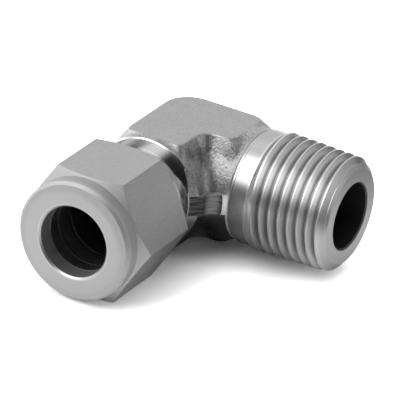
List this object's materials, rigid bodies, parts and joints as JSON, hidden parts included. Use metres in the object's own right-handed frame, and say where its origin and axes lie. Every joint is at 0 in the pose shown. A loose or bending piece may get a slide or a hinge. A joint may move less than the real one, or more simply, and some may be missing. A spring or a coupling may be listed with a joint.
{
  "type": "male elbow tube fitting",
  "caption": "Right-angle elbow fitting with a compression-jointed tube port under a hexagon nut and a tapered male pipe thread on the other arm.",
  "frame": {"origin": "where the centre lines of the tube port and of the pipe thread cross, on the axis of the pipe-side bore", "axes": "+X out of the male pipe thread, -Y out of the tube port, +Z out of the upper wrench pad"},
  "size_m": [0.0452, 0.0494, 0.0222],
  "materials": {
    "body_steel": "forged grain on the elbow, turned satin on the threads, collar and bevels",
    "nut_steel": "fine satin on flats and face, polished chamfers",
    "ferrule_steel": "turned, bright"
  },
  "bodies": {
    "fitting_body": {"elbow_body": "body_steel"},
    "ferrules": {"front_ferrule": "ferrule_steel", "back_ferrule": "ferrule_steel"},
    "nut": {"nut": "nut_steel"}
  },
  "joints": [
    {"name": "ferrule_slide", "type": "slide", "parent": "fitting_body", "child": "ferrules", "axis": [0, -1, 0], "range_m": [0, 0.00953]},
    {"name": "nut_turn", "type": "hinge", "parent": "ferrules", "child": "nut", "pos_m": [0, -0.03, 0], "axis": [0, -1, 0], "range_deg": [0, 2700]}
  ],
  "couplings": [
    {"joint": "ferrule_slide", "follows": "nut_turn", "m_per_rad": 0.00020213}
  ]
}
